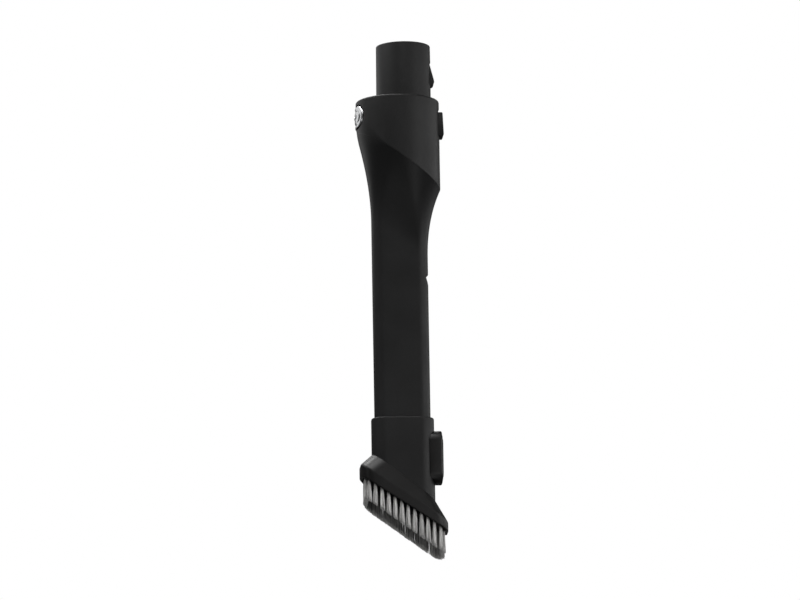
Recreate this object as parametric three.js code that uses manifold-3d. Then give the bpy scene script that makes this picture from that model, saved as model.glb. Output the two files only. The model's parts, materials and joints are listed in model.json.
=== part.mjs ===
// Two-in-one vacuum accessory: a flat crevice nozzle with a round latching spigot,
// and a sliding sleeve that carries a slanted dusting brush.
// Millimetres, +Z up. The origin is on the spigot's axis, at the collar's shoulder.
// The nozzle hangs down from there, its silver release button faces -X, and the
// latch hook and the thumb pad face +X.

import * as THREE from 'three';
import { mergeVertices } from 'three/addons/utils/BufferGeometryUtils.js';
import { LoftGeometry } from 'three/addons/geometries/LoftGeometry.js';
import Module from 'manifold-3d';

const wasm = await Module();
wasm.setup();

// Clearances
const GAP = 0.3;
const HALF_GAP = GAP / 2;
const SLIDE_GAP = 0.4;
const OVERSHOOT = 1;

// Cutting blocks reach past every piece sideways and down, and past slanted ends
const FAR = 60;
const FAR_DOWN = -300;
const PAST_SLANT = 20;

// Spigot pipe
const SPIGOT_LENGTH = 34.4;
const SPIGOT_TIP_RADIUS = 16.3;
const SPIGOT_BASE_RADIUS = 16.6;
const SPIGOT_WALL = 1.8;
const SPIGOT_EDGE = 0.6;
const PIPE_RADIUS = 15.2;
const DUCT_RADIUS = PIPE_RADIUS - SPIGOT_WALL;
const PIPE_STEP_TOP = -1.2;
const PIPE_STEP_BOTTOM = -2.6;
const PIPE_BOTTOM = -20;
const FLANGE_RADIUS = 20.6;
const FLANGE_THICKNESS = 2.4;
const FLANGE_TOP = PIPE_BOTTOM + FLANGE_THICKNESS;
const FLANGE_CUT_X = 16.2;
const NUB_RADIUS = 0.9;
const NUB_Z = 31;
const NUB_SEGMENTS = 12;

// Collar, centred on the flat tube's axis, which is offset from the spigot's
const TUBE_X = -4;
const COLLAR_RADIUS = 25.1;
const COLLAR_WALL = 2;
const COLLAR_INNER = COLLAR_RADIUS - COLLAR_WALL;
const COLLAR_FILLET = 1.2;
const SHOULDER_THICKNESS = 2.2;
const COLLAR_STOCK_END = -80;
const FILLET_STEPS = 4;
const CREASE = { height: -36.8, slope: 0.69 };

// Flat tube, its neck and its mouth
const TUBE = { halfWidth: 16.8, halfDepth: 7.5, radius: 6.6 };
const TUBE_FACE = TUBE_X + TUBE.halfWidth;
const TUBE_WALL = 1.8;
const NECK_END = { height: -84.7, slope: 0.66 };
const NECK_ROWS = 10;
const NECK_WALL = 2.2;
const POCKET_ROWS = NECK_ROWS - 3;
const NECK_DUCT_WALL = 1.6;
const RIM_RADIUS = COLLAR_INNER - GAP;
const RIM_INNER = RIM_RADIUS - 2;
const RIM_RISE = 4;
const DUCT_TOP = -22;
const DUCT_END = -90;
const DUCT_ROWS = 8;
const MOUTH = { height: -226.5, slope: 0.7 };
const SPLIT = -90;

// Gasket and screws between the pipe and the nozzle
const SEAL = { inner: DUCT_RADIUS + 0.2, outer: 16.6, low: -21.7, high: -20.3 };
const SCREW_Y = 18.2;
const SCREW = { shank: 1.3, head: 2.4, headHeight: 1.7, tip: -29 };
const SCREW_BOSS = { radius: 2.9, bottom: -31, inset: 0.8 };
const DRIVE = { length: 3, width: 0.7, depth: 0.9 };

// Latch lever in the spigot's slot
const PIVOT = { x: 14.8, z: -4.4 };
const LATCH_HALF_WIDTH = 4.9;
const TAIL_HALF_WIDTH = 6;
const SLOT_INNER = 11;
const SLOT_HALF_WIDTH = 5.3;
const SLOT_TOP = 24.4;
const SLOT_BOTTOM = -8.3;
const WINDOW = { low: -22.6, high: -4.6, halfWidth: 6.5 };
const PIN_RADIUS = 0.85;
const PIN_HALF_LENGTH = 8.2;
const EAR = { inner: 12.4, outer: 16.4, halfWidth: 8.6, low: -6.5, high: -2.6, root: 4.9 };

// Release button and what it pushes
const BUTTON_Z = -10;
const BUTTON = { halfWidth: 12.4, halfHeight: 6.4, proud: 0.35, thickness: 0.8 };
const BUTTON_PAD = { halfWidth: 8.2, halfHeight: 3.6, rise: 0.35 };
const BUTTON_PIP = { radius: 1.1, height: 0.65, foot: 0.4 };
const BUTTON_EDGE = 0.4;
const BUTTON_HOLE_GAP = 1;
const SLIDER = { inset: 0.4, front: 1.1, back: 2.4, stemRadius: 3 };
const GUIDE = { gap: 0.35, wall: 1.4, inner: -21.3, floor: -22.5, hole: 2.8, roomEnd: -20 };
const PUSH_RING = { x: -0.65, inner: 16.6, outer: 18.35, halfHeight: 2.8 };
const STEM_RADIUS = 2.4;
const STEM_END = -26;
const BUTTON_SPRING = { z: BUTTON_Z, low: -26.6, high: -22.7, radius: 4.2, wire: 0.35, turns: 3.5 };

// Brush sleeve, which slides up the flat tube
const SLEEVE_WALL = 1.6;
const SLEEVE_TOP = -194.5;
const SLEEVE_CHAMFER = 0.8;
const SLEEVE_JOIN = { height: -230.8, slope: 0.756 };
const SLEEVE_FACE = TUBE_FACE + SLIDE_GAP + SLEEVE_WALL;
const SLIDE_TRAVEL = 100;

// Slanted brush head
const RIM_TOP = { height: -240.9, slope: 0.68 };
const RIM_BOTTOM = { height: -247.4, slope: 0.655 };
const HEAD = { halfWidth: 26, halfDepth: 12.5, radius: 8 };
const RIM_CHAMFER = 1.4;
const CAVITY = { halfWidth: 24.5, halfDepth: 11.1, radius: 6.6 };
const CARRIER_INSET = 1;
const CARRIER_THICKNESS = 3.4;
const BRISTLE_TIPS = { height: -262.4, slope: 0.725 };
const BRISTLE_OUTER = { halfWidth: 23.8, halfDepth: 11, radius: 6 };
const BRISTLE_THICKNESS = 2.2;
const BRISTLE_STRAIGHT = 17.6;

// Thumb lock on the sleeve
const HOUSING = { low: -234.5, high: -202.2, halfWidth: 8, radius: 6.5 };
const HOUSING_BACK = SLEEVE_FACE - 4;
const HOUSING_FRONT = SLEEVE_FACE + 4.4;
const HOUSING_EDGE = 0.9;
const POCKET = { low: -232.8, high: -203.9, halfWidth: 5.9, radius: 4.9 };
const PAD = { low: -232.4, high: -204.3, halfWidth: 5.5, radius: 4.5 };
const PAD_BACK = SLEEVE_FACE + 1.9;
const PAD_FRONT = SLEEVE_FACE + 4.8;
const PAD_EDGE = 0.6;
const INSERT = { low: -230, high: -206.7, halfWidth: 3.6, radius: 3.4 };
const INSERT_BACK = PAD_FRONT - 0.6;
const INSERT_FRONT = PAD_FRONT + 0.4;
const INSERT_EDGE = 0.3;
const LOCK_PIVOT = { x: SLEEVE_FACE + 2.4, z: -219 };
const LOCK_BOSS = { back: SLEEVE_FACE + 0.8, halfHeight: 2 };
const LOCK_PIN_RADIUS = 0.7;
const LOCK_PIN_HALF_LENGTH = 7;
const LOCK_SPRING = {
  z: -228,
  low: SLEEVE_FACE + 0.3,
  high: SLEEVE_FACE + 3.1,
  radius: 2.1,
  wire: 0.3,
  turns: 2.5,
};
const LOCK_SPRING_SEAT = { radius: 2.9, top: SLEEVE_FACE + 3.4 };
const LEAF = { halfWidth: 4, back: SLEEVE_FACE + 1, front: SLEEVE_FACE + 1.5, play: 0.45, bite: 0.85 };
const NOTCH_HALF_WIDTH = 5.2;
const NOTCH_TOP = -106.2;
const NOTCH_DEPTH = 1.4;
const NOTCH_UNDERCUT = 1;
const NOTCH_LIP = 0.7;
const NOTCH_LENGTH = 2.6;
const NOTCH_SLOPE_LENGTH = 4.4;
const LOWER_NOTCH_LENGTH = 6.4;
const LOCK_WINDOW = { low: -213.8, high: -205.2, halfWidth: 4.6 };

// Facets
const ROUND_SEGMENTS = 64;
const SMALL_SEGMENTS = 24;
const CORNER_STEPS = 7;
const BLOCK_CORNER_STEPS = 6;
const BLOCK_EDGE_STEPS = 3;
const COIL_STEPS_PER_TURN = 10;
const LEAST_STRAIGHT = 0.05;

const BLACK_BODY = new THREE.MeshStandardMaterial({ color: 0x1c1c1e, roughness: 0.62, metalness: 0 });
const BLACK_HEAD = new THREE.MeshStandardMaterial({ color: 0x242426, roughness: 0.42, metalness: 0 });
const BLACK_TRIM = new THREE.MeshStandardMaterial({ color: 0x121213, roughness: 0.5, metalness: 0 });
const SILVER = new THREE.MeshStandardMaterial({ color: 0xc4c6c9, roughness: 0.32, metalness: 0.85 });
const STEEL = new THREE.MeshStandardMaterial({ color: 0x9a9c9e, roughness: 0.35, metalness: 0.9 });
const RUBBER = new THREE.MeshStandardMaterial({ color: 0x151515, roughness: 0.85, metalness: 0 });
const BRISTLE = new THREE.MeshStandardMaterial({ color: 0xa9a8a6, roughness: 0.7, metalness: 0 });

const group = new THREE.Group();

// Helpers

function solid(geometry) {
  const bare = geometry.index ? geometry.toNonIndexed() : geometry;
  bare.deleteAttribute('normal');
  bare.deleteAttribute('uv');
  const merged = mergeVertices(bare, 1e-4);
  return new wasm.Manifold(new wasm.Mesh({
    numProp: 3,
    vertProperties: new Float32Array(merged.attributes.position.array),
    triVerts: new Uint32Array(merged.index.array),
  }));
}

function addPart(name, shape, material) {
  const { numProp, vertProperties, triVerts } = shape.getMesh();
  const position = new Float32Array((vertProperties.length / numProp) * 3);
  for (let i = 0; i < position.length / 3; i++) {
    for (let axis = 0; axis < 3; axis++) {
      position[3 * i + axis] = vertProperties[numProp * i + axis];
    }
  }
  const geometry = new THREE.BufferGeometry();
  geometry.setAttribute('position', new THREE.BufferAttribute(position, 3));
  geometry.setIndex(new THREE.BufferAttribute(new Uint32Array(triVerts), 1));
  geometry.computeVertexNormals();
  const mesh = new THREE.Mesh(geometry, material);
  mesh.name = name;
  group.add(mesh);
}

function box(low, high) {
  const size = high.map((value, axis) => value - low[axis]);
  const geometry = new THREE.BoxGeometry(...size);
  geometry.translate(...high.map((value, axis) => (value + low[axis]) / 2));
  return solid(geometry);
}

// An upright cylinder, or one along X or Y, from low to high on its own axis.
function rod(axis, radius, low, high, centre, segments = SMALL_SEGMENTS) {
  const geometry = new THREE.CylinderGeometry(radius, radius, high - low, segments);
  geometry.translate(0, (high + low) / 2, 0);
  if (axis === 'x') {
    geometry.rotateZ(-Math.PI / 2);
  }
  if (axis === 'z') {
    geometry.rotateX(Math.PI / 2);
  }
  geometry.translate(...centre);
  return solid(geometry);
}

// A solid of revolution about an upright axis, from (radius, height) points.
function turned(points, x) {
  const profile = points.map(([radius, height]) => new THREE.Vector2(radius, height));
  const geometry = new THREE.LatheGeometry(profile, ROUND_SEGMENTS);
  geometry.rotateX(Math.PI / 2);
  geometry.translate(x, 0, 0);
  return solid(geometry);
}

// An outline in X and Z, extruded to both sides of the plane y = 0.
function sideProfile(shape, halfWidth) {
  const geometry = new THREE.ExtrudeGeometry(shape, { depth: 2 * halfWidth, bevelEnabled: false });
  geometry.translate(0, 0, -halfWidth);
  geometry.rotateX(Math.PI / 2);
  return solid(geometry);
}

function polygon(points) {
  return new THREE.Shape(points.map(([x, z]) => new THREE.Vector2(x, z)));
}

// A block with rounded corners in Y and Z, extruded along X from back to front.
function frontBlock({ low, high, halfWidth, radius }, back, front, bevel = 0) {
  const shape = new THREE.Shape();
  const right = halfWidth - bevel;
  const top = high - bevel;
  const bottom = low + bevel;
  const corner = radius - bevel;
  shape.moveTo(right, bottom + corner);
  shape.lineTo(right, top - corner);
  shape.absarc(right - corner, top - corner, corner, 0, Math.PI / 2);
  shape.absarc(corner - right, top - corner, corner, Math.PI / 2, Math.PI);
  shape.absarc(corner - right, bottom + corner, corner, Math.PI, 1.5 * Math.PI);
  shape.absarc(right - corner, bottom + corner, corner, 1.5 * Math.PI, 2 * Math.PI);
  const geometry = new THREE.ExtrudeGeometry(shape, {
    depth: front - back - 2 * bevel,
    curveSegments: BLOCK_CORNER_STEPS,
    bevelEnabled: bevel > 0,
    bevelThickness: bevel,
    bevelSize: bevel,
    bevelSegments: BLOCK_EDGE_STEPS,
  });
  geometry.translate(0, 0, back + bevel);
  const turn = new THREE.Matrix4().makeBasis(
    new THREE.Vector3(0, 1, 0),
    new THREE.Vector3(0, 0, 1),
    new THREE.Vector3(1, 0, 0),
  );
  geometry.applyMatrix4(turn);
  return solid(geometry);
}

// A round-cornered cross-section lying in a plane that drops towards +X.
function section({ halfWidth, halfDepth, radius }, { height, slope }, x = TUBE_X) {
  const corner = Math.min(radius, halfWidth - LEAST_STRAIGHT, halfDepth - LEAST_STRAIGHT);
  const points = [];
  for (let quarter = 0; quarter < 4; quarter++) {
    const side = quarter === 0 || quarter === 3 ? 1 : -1;
    const face = quarter < 2 ? 1 : -1;
    for (let step = 0; step <= CORNER_STEPS; step++) {
      const angle = (quarter + step / CORNER_STEPS) * Math.PI / 2;
      const across = side * (halfWidth - corner) + corner * Math.cos(angle);
      const deep = face * (halfDepth - corner) + corner * Math.sin(angle);
      points.push(new THREE.Vector3(x + across, deep, height - slope * across));
    }
  }
  return points;
}

function loft(sections) {
  return solid(new LoftGeometry(sections, { capStart: true, capEnd: true }));
}

// A prism of one cross-section between two planes, the lower one given first.
function prism(size, lower, upper) {
  return loft([section(size, lower), section(size, upper)]);
}

function resized(size, change) {
  return {
    halfWidth: size.halfWidth + change,
    halfDepth: size.halfDepth + change,
    radius: size.radius + change,
  };
}

function shifted(plane, rise) {
  return { height: plane.height + rise, slope: plane.slope };
}

function level(height) {
  return { height, slope: 0 };
}

// Everything under a plane, as a large block.
function under(plane) {
  const size = 400;
  const geometry = new THREE.BoxGeometry(size, size, size);
  geometry.translate(0, 0, -size / 2);
  geometry.rotateY(Math.atan(plane.slope));
  geometry.translate(TUBE_X, 0, plane.height);
  return solid(geometry);
}

// A closed tube along a helix about an axis along X, for coil springs.
function coil({ z, low, high, radius, wire, turns }) {
  const points = [];
  const steps = Math.round(turns * COIL_STEPS_PER_TURN);
  for (let i = 0; i <= steps; i++) {
    const angle = (i / steps) * turns * 2 * Math.PI;
    const along = low + wire + (i / steps) * (high - low - 2 * wire);
    points.push(new THREE.Vector3(along, radius * Math.cos(angle), radius * Math.sin(angle)));
  }
  const path = new THREE.CatmullRomCurve3(points);
  const ring = new THREE.Shape();
  ring.absarc(0, 0, wire, 0, 2 * Math.PI);
  const geometry = new THREE.ExtrudeGeometry(ring, { steps, extrudePath: path, curveSegments: 3 });
  geometry.translate(0, 0, z);
  return solid(geometry);
}

// Spigot pipe: round pipe with a slot for the latch, two ears for its pin, and a flange

function spigotPipe() {
  const tipInner = SPIGOT_TIP_RADIUS - SPIGOT_WALL;
  const baseInner = SPIGOT_BASE_RADIUS - SPIGOT_WALL;
  const pipe = turned([
    [DUCT_RADIUS, PIPE_BOTTOM],
    [PIPE_RADIUS, PIPE_BOTTOM],
    [PIPE_RADIUS, PIPE_STEP_BOTTOM],
    [SPIGOT_BASE_RADIUS, PIPE_STEP_TOP],
    [SPIGOT_TIP_RADIUS, SPIGOT_LENGTH - SPIGOT_EDGE],
    [SPIGOT_TIP_RADIUS - SPIGOT_EDGE, SPIGOT_LENGTH],
    [tipInner + SPIGOT_EDGE, SPIGOT_LENGTH],
    [tipInner, SPIGOT_LENGTH - SPIGOT_EDGE],
    [baseInner, PIPE_STEP_TOP],
    [DUCT_RADIUS, PIPE_STEP_BOTTOM],
    [DUCT_RADIUS, PIPE_BOTTOM],
  ], 0);
  const slot = box([SLOT_INNER, -SLOT_HALF_WIDTH, SLOT_BOTTOM], [FAR, SLOT_HALF_WIDTH, SLOT_TOP]);
  const flange = trimmed(rod('z', FLANGE_RADIUS, PIPE_BOTTOM, FLANGE_TOP, [0, 0, 0], ROUND_SEGMENTS));
  const ball = new THREE.SphereGeometry(NUB_RADIUS, NUB_SEGMENTS, NUB_SEGMENTS / 2);
  const nub = solid(ball.translate(SPIGOT_TIP_RADIUS, 0, NUB_Z));
  let body = pipe.add(nub).add(flange);
  for (const side of [-1, 1]) {
    const ys = [side * EAR.root, side * EAR.halfWidth].sort((a, b) => a - b);
    body = body.add(box([EAR.inner, ys[0], EAR.low], [EAR.outer, ys[1], EAR.high]));
    body = body.subtract(screwHole(side));
  }
  const duct = rod('z', DUCT_RADIUS, PIPE_BOTTOM - OVERSHOOT, EAR.high, [0, 0, 0], ROUND_SEGMENTS);
  return body.subtract(duct).subtract(slot).subtract(latchPin(GAP));
}

// A flange stays inside the collar and is cut flat where the latch's tail hangs.
function trimmed(flange) {
  const flat = box([FLANGE_CUT_X, -FAR, -FAR], [FAR, FAR, 0]);
  return flange.intersect(rod('z', COLLAR_INNER - GAP, -FAR, 0, [TUBE_X, 0, 0])).subtract(flat);
}

function screwHole(side) {
  return rod('z', SCREW.shank + GAP, SCREW.tip - GAP, FLANGE_TOP + OVERSHOOT, [0, side * SCREW_Y, 0]);
}

function ductScrew(side) {
  const seat = FLANGE_TOP + GAP;
  const top = seat + SCREW.headHeight;
  const centre = [0, side * SCREW_Y, 0];
  let screw = rod('z', SCREW.head, seat, top, centre);
  screw = screw.add(rod('z', SCREW.shank, SCREW.tip, seat + OVERSHOOT, centre));
  for (const [x, y] of [[DRIVE.length, DRIVE.width], [DRIVE.width, DRIVE.length]]) {
    const low = [-x / 2, centre[1] - y / 2, top - DRIVE.depth];
    const high = [x / 2, centre[1] + y / 2, top + OVERSHOOT];
    screw = screw.subtract(box(low, high));
  }
  return screw;
}

function latchPin(grow) {
  const reach = PIN_HALF_LENGTH + 3 * grow;
  return rod('y', PIN_RADIUS + grow, -reach, reach, [PIVOT.x, 0, PIVOT.z]);
}

// Collar shell: the round cover, cut off along a slanted plane at its foot

function collarShell() {
  const outline = [[0, COLLAR_STOCK_END], [COLLAR_RADIUS, COLLAR_STOCK_END]];
  for (let step = 0; step <= FILLET_STEPS; step++) {
    const angle = (step / FILLET_STEPS) * Math.PI / 2;
    outline.push([
      COLLAR_RADIUS - COLLAR_FILLET * (1 - Math.cos(angle)),
      -COLLAR_FILLET * (1 - Math.sin(angle)),
    ]);
  }
  outline.push([0, 0]);
  const hole = SPIGOT_BASE_RADIUS + GAP;
  const inside = COLLAR_STOCK_END - OVERSHOOT;
  const window = box([PIVOT.x, -WINDOW.halfWidth, WINDOW.low], [FAR, WINDOW.halfWidth, WINDOW.high]);
  const buttonHole = buttonOutline(BUTTON_HOLE_GAP, -FAR, TUBE_X);
  return turned(outline, TUBE_X)
    .subtract(rod('z', COLLAR_INNER, inside, -SHOULDER_THICKNESS, [TUBE_X, 0, 0], ROUND_SEGMENTS))
    .subtract(rod('z', hole, -SHOULDER_THICKNESS - OVERSHOOT, OVERSHOOT, [0, 0, 0], ROUND_SEGMENTS))
    .subtract(under(shifted(CREASE, HALF_GAP)))
    .subtract(window)
    .subtract(buttonHole);
}

// Nozzle body: the neck below the crease, the flat tube, and the duct inside them

function neckSize(part) {
  const left = (1 - part) ** 2;
  const mix = (tube, collar) => tube + (collar - tube) * left;
  return {
    halfWidth: mix(TUBE.halfWidth, COLLAR_RADIUS),
    halfDepth: mix(TUBE.halfDepth, COLLAR_RADIUS),
    radius: mix(TUBE.radius, COLLAR_RADIUS),
  };
}

function neckPlane(part) {
  const start = shifted(CREASE, -HALF_GAP);
  return {
    height: start.height + (NECK_END.height - start.height) * part,
    slope: start.slope + (NECK_END.slope - start.slope) * part,
  };
}

function neckOutside() {
  const sections = [section(TUBE, MOUTH)];
  for (let row = NECK_ROWS; row >= 0; row--) {
    sections.push(section(neckSize(row / NECK_ROWS), neckPlane(row / NECK_ROWS)));
  }
  return loft(sections);
}

// The hollow between the neck's outer wall and the duct, open to the collar.
function neckPocket() {
  const sections = [];
  for (let row = POCKET_ROWS; row >= 0; row--) {
    const size = resized(neckSize(row / NECK_ROWS), -NECK_WALL);
    for (const key of Object.keys(size)) {
      size[key] = Math.min(size[key], RIM_INNER);
    }
    sections.push(section(size, neckPlane(row / NECK_ROWS)));
  }
  const round = { halfWidth: RIM_INNER, halfDepth: RIM_INNER, radius: RIM_INNER };
  sections.push(section(round, shifted(CREASE, RIM_RISE + OVERSHOOT)));
  return loft(sections);
}

function duct(change, top, bottom) {
  const flat = resized(TUBE, change - TUBE_WALL);
  const round = DUCT_RADIUS + change;
  const sections = [section(flat, bottom), section(flat, level(DUCT_END))];
  for (let row = DUCT_ROWS - 1; row >= 0; row--) {
    const part = row / DUCT_ROWS;
    const left = (1 - part) ** 2;
    const drift = TUBE_X * part * part * (3 - 2 * part);
    const size = {
      halfWidth: flat.halfWidth + (round - flat.halfWidth) * left,
      halfDepth: flat.halfDepth + (round - flat.halfDepth) * left,
      radius: flat.radius + (round - flat.radius) * left,
    };
    const height = DUCT_TOP - SHOULDER_THICKNESS + (DUCT_END - DUCT_TOP + SHOULDER_THICKNESS) * part;
    sections.push(section(size, level(height), drift));
  }
  const end = { halfWidth: round, halfDepth: round, radius: round };
  sections.push(section(end, level(top), 0));
  return loft(sections);
}

// A pocket for the lock's tooth: undercut at its top, then square or sloping out at its foot.
function notch(top, length, slopeLength) {
  const deep = TUBE_FACE - NOTCH_DEPTH;
  const foot = top - length - slopeLength;
  const outline = polygon([
    [TUBE_FACE + OVERSHOOT, top + NOTCH_LIP],
    [deep, top - NOTCH_UNDERCUT],
    [deep, top - length],
    [TUBE_FACE, foot],
    [TUBE_FACE + OVERSHOOT, foot],
  ]);
  return sideProfile(outline, NOTCH_HALF_WIDTH);
}

// Where the neck's rim is cut away round the button's guide.
function guideRoom() {
  const reach = BUTTON.halfWidth + GUIDE.gap + GUIDE.wall + 2 * GAP;
  const depth = BUTTON_Z - BUTTON.halfHeight - GUIDE.gap - GUIDE.wall - 2 * GAP;
  return box([-FAR, -reach, depth], [GUIDE.roomEnd, reach, 0]);
}

function nozzleBody() {
  const rim = rod('z', RIM_RADIUS, COLLAR_STOCK_END, -SHOULDER_THICKNESS, [TUBE_X, 0, 0], ROUND_SEGMENTS)
    .intersect(under(shifted(CREASE, RIM_RISE)))
    .subtract(under(shifted(CREASE, -OVERSHOOT)));
  const flangeBottom = DUCT_TOP - FLANGE_THICKNESS;
  let top = trimmed(rod('z', FLANGE_RADIUS, flangeBottom, DUCT_TOP, [0, 0, 0], ROUND_SEGMENTS));
  for (const side of [-1, 1]) {
    const centre = [0, side * (SCREW_Y - SCREW_BOSS.inset), 0];
    top = top.add(rod('z', SCREW_BOSS.radius, SCREW_BOSS.bottom, flangeBottom + OVERSHOOT, centre));
  }
  let body = neckOutside()
    .add(rim)
    .subtract(guideRoom())
    .subtract(neckPocket())
    .add(duct(NECK_DUCT_WALL, DUCT_TOP, level(DUCT_END - OVERSHOOT)))
    .add(top)
    .subtract(duct(0, DUCT_TOP + OVERSHOOT, shifted(MOUTH, -PAST_SLANT)))
    .subtract(notch(NOTCH_TOP, NOTCH_LENGTH, NOTCH_SLOPE_LENGTH))
    .subtract(notch(NOTCH_TOP - SLIDE_TRAVEL, LOWER_NOTCH_LENGTH, 0));
  for (const side of [-1, 1]) {
    body = body.subtract(screwHole(side));
  }
  return body;
}

// The nozzle is kept as its neck and its flat tube, which meet at a level plane.
function aboveSplit(shape) {
  return shape.intersect(box([-FAR, -FAR, SPLIT + HALF_GAP], [FAR, FAR, 0]));
}

function belowSplit(shape) {
  return shape.intersect(box([-FAR, -FAR, FAR_DOWN], [FAR, FAR, SPLIT - HALF_GAP]));
}

function ductSeal() {
  return turned([
    [SEAL.inner, SEAL.low],
    [SEAL.outer, SEAL.low],
    [SEAL.outer, SEAL.high],
    [SEAL.inner, SEAL.high],
    [SEAL.inner, SEAL.low],
  ], 0);
}

// Latch lever: hook at the top, pivot hole, and a tail that shows in the collar's window

function latchLever() {
  const arm = new THREE.Shape();
  arm.moveTo(13.6, -6.3);
  arm.lineTo(13.6, 23.6);
  arm.lineTo(15.4, 23.6);
  arm.lineTo(16, 21.2);
  arm.lineTo(18.2, 12.6);
  arm.quadraticCurveTo(18.5, 10.9, 17.4, 10.2);
  arm.lineTo(16, 9.8);
  arm.lineTo(16, -3.2);
  arm.lineTo(18.1, -3.4);
  arm.lineTo(18.1, -5.9);
  arm.lineTo(19.6, -6.1);
  arm.lineTo(19.6, -8);
  arm.lineTo(18.7, -8);
  arm.lineTo(18, -6.6);
  const tail = new THREE.Shape();
  tail.moveTo(18.6, -7.2);
  tail.lineTo(22.1, -7.2);
  tail.quadraticCurveTo(22.9, -7.2, 22.95, -8.2);
  tail.lineTo(23.45, -20.4);
  tail.quadraticCurveTo(23.45, -21.6, 22.5, -21.6);
  tail.lineTo(18, -21.6);
  tail.lineTo(18, BUTTON_Z);
  tail.lineTo(18.6, -8.2);
  return sideProfile(arm, LATCH_HALF_WIDTH)
    .add(sideProfile(tail, TAIL_HALF_WIDTH))
    .subtract(latchPin(GAP));
}

// Release button: a wide oval that follows the collar's curve, with a raised pad and pip,
// its guide behind the collar's wall, its spring, and the ring that carries its push round the duct

function buttonOutline(change, back, front, size = BUTTON) {
  const halfHeight = size.halfHeight + change;
  const halfWidth = size.halfWidth + change;
  const outline = {
    low: BUTTON_Z - halfHeight,
    high: BUTTON_Z + halfHeight,
    halfWidth,
    radius: halfHeight - LEAST_STRAIGHT,
  };
  return frontBlock(outline, back, front);
}

function collarRound(radius) {
  return rod('z', radius, -FAR, OVERSHOOT, [TUBE_X, 0, 0], ROUND_SEGMENTS);
}

function buttonCap() {
  const face = COLLAR_RADIUS + BUTTON.proud;
  const front = TUBE_X - face;
  const edge = buttonOutline(0, -FAR, TUBE_X).intersect(collarRound(face - BUTTON_EDGE));
  const crown = buttonOutline(-BUTTON_EDGE, -FAR, TUBE_X).intersect(collarRound(face));
  const pad = buttonOutline(0, -FAR, TUBE_X, BUTTON_PAD).intersect(collarRound(face + BUTTON_PAD.rise));
  const { radius, height, foot } = BUTTON_PIP;
  const pip = rod('x', radius, front - height, front + foot, [0, 0, BUTTON_Z]);
  return edge.add(crown).add(pad).subtract(collarRound(face - BUTTON.thickness)).add(pip);
}

// The black slider behind the silver cap, with the stem that meets the push ring.
function buttonSlider() {
  const face = COLLAR_RADIUS + BUTTON.proud;
  const plate = buttonOutline(-SLIDER.inset, -FAR, TUBE_X)
    .intersect(collarRound(face - SLIDER.front))
    .subtract(collarRound(face - SLIDER.back));
  const stemStart = TUBE_X - face + SLIDER.front + GAP;
  return plate.add(rod('x', SLIDER.stemRadius, stemStart, STEM_END - GAP, [0, 0, BUTTON_Z]));
}

function buttonGuide() {
  const frame = buttonOutline(GUIDE.gap + GUIDE.wall, -FAR, GUIDE.inner);
  const bore = buttonOutline(GUIDE.gap, -FAR, GUIDE.floor);
  const hole = rod('x', GUIDE.hole, -FAR, 0, [0, 0, BUTTON_Z]);
  const ceiling = -SHOULDER_THICKNESS - GAP;
  const room = rod('z', COLLAR_INNER - GAP, -FAR, ceiling, [TUBE_X, 0, 0], ROUND_SEGMENTS);
  return frame.intersect(room).subtract(bore).subtract(hole);
}

function pushRing() {
  const low = BUTTON_Z - PUSH_RING.halfHeight;
  const high = BUTTON_Z + PUSH_RING.halfHeight;
  const centre = [PUSH_RING.x, 0, 0];
  const outer = rod('z', PUSH_RING.outer, low, high, centre, ROUND_SEGMENTS);
  const stemRoot = PUSH_RING.x - (PUSH_RING.inner + PUSH_RING.outer) / 2;
  const stem = rod('x', STEM_RADIUS, STEM_END, stemRoot, [0, 0, BUTTON_Z]);
  const inner = rod('z', PUSH_RING.inner, low - OVERSHOOT, high + OVERSHOOT, centre, ROUND_SEGMENTS);
  return outer.add(stem).subtract(inner);
}

// Brush sleeve, head and bristle ring

const SLEEVE_INSIDE = resized(TUBE, SLIDE_GAP);
const SLEEVE_OUTSIDE = resized(SLEEVE_INSIDE, SLEEVE_WALL);

function sleeveShell() {
  const outside = loft([
    section(SLEEVE_OUTSIDE, shifted(SLEEVE_JOIN, HALF_GAP)),
    section(SLEEVE_OUTSIDE, level(SLEEVE_TOP - SLEEVE_CHAMFER)),
    section(resized(SLEEVE_OUTSIDE, -SLEEVE_CHAMFER), level(SLEEVE_TOP)),
  ]);
  const inside = prism(SLEEVE_INSIDE, shifted(SLEEVE_JOIN, -PAST_SLANT), level(SLEEVE_TOP + OVERSHOOT));
  const { low, high, halfWidth } = LOCK_WINDOW;
  const window = box([0, -halfWidth, low], [FAR, halfWidth, high]);
  return outside.subtract(inside).subtract(window);
}

function brushHead() {
  const outside = loft([
    section(resized(HEAD, -RIM_CHAMFER / 2), RIM_BOTTOM),
    section(HEAD, shifted(RIM_BOTTOM, RIM_CHAMFER)),
    section(HEAD, RIM_TOP),
    section(SLEEVE_OUTSIDE, shifted(SLEEVE_JOIN, -HALF_GAP)),
  ]);
  const passage = prism(SLEEVE_INSIDE, shifted(RIM_BOTTOM, -PAST_SLANT), shifted(SLEEVE_JOIN, PAST_SLANT));
  const cavity = prism(CAVITY, shifted(RIM_BOTTOM, -PAST_SLANT), shifted(RIM_TOP, -HALF_GAP));
  return outside.subtract(passage).subtract(cavity);
}

const CARRIER_BOTTOM = shifted(RIM_BOTTOM, CARRIER_INSET);

function bristleCarrier() {
  const outside = prism(resized(CAVITY, -GAP), CARRIER_BOTTOM, shifted(CARRIER_BOTTOM, CARRIER_THICKNESS));
  const start = shifted(CARRIER_BOTTOM, -PAST_SLANT);
  const passage = prism(SLEEVE_INSIDE, start, shifted(CARRIER_BOTTOM, PAST_SLANT));
  return outside.subtract(passage);
}

// Bristles: two straight rows and two round ends, between the carrier and the tips' plane

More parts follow.
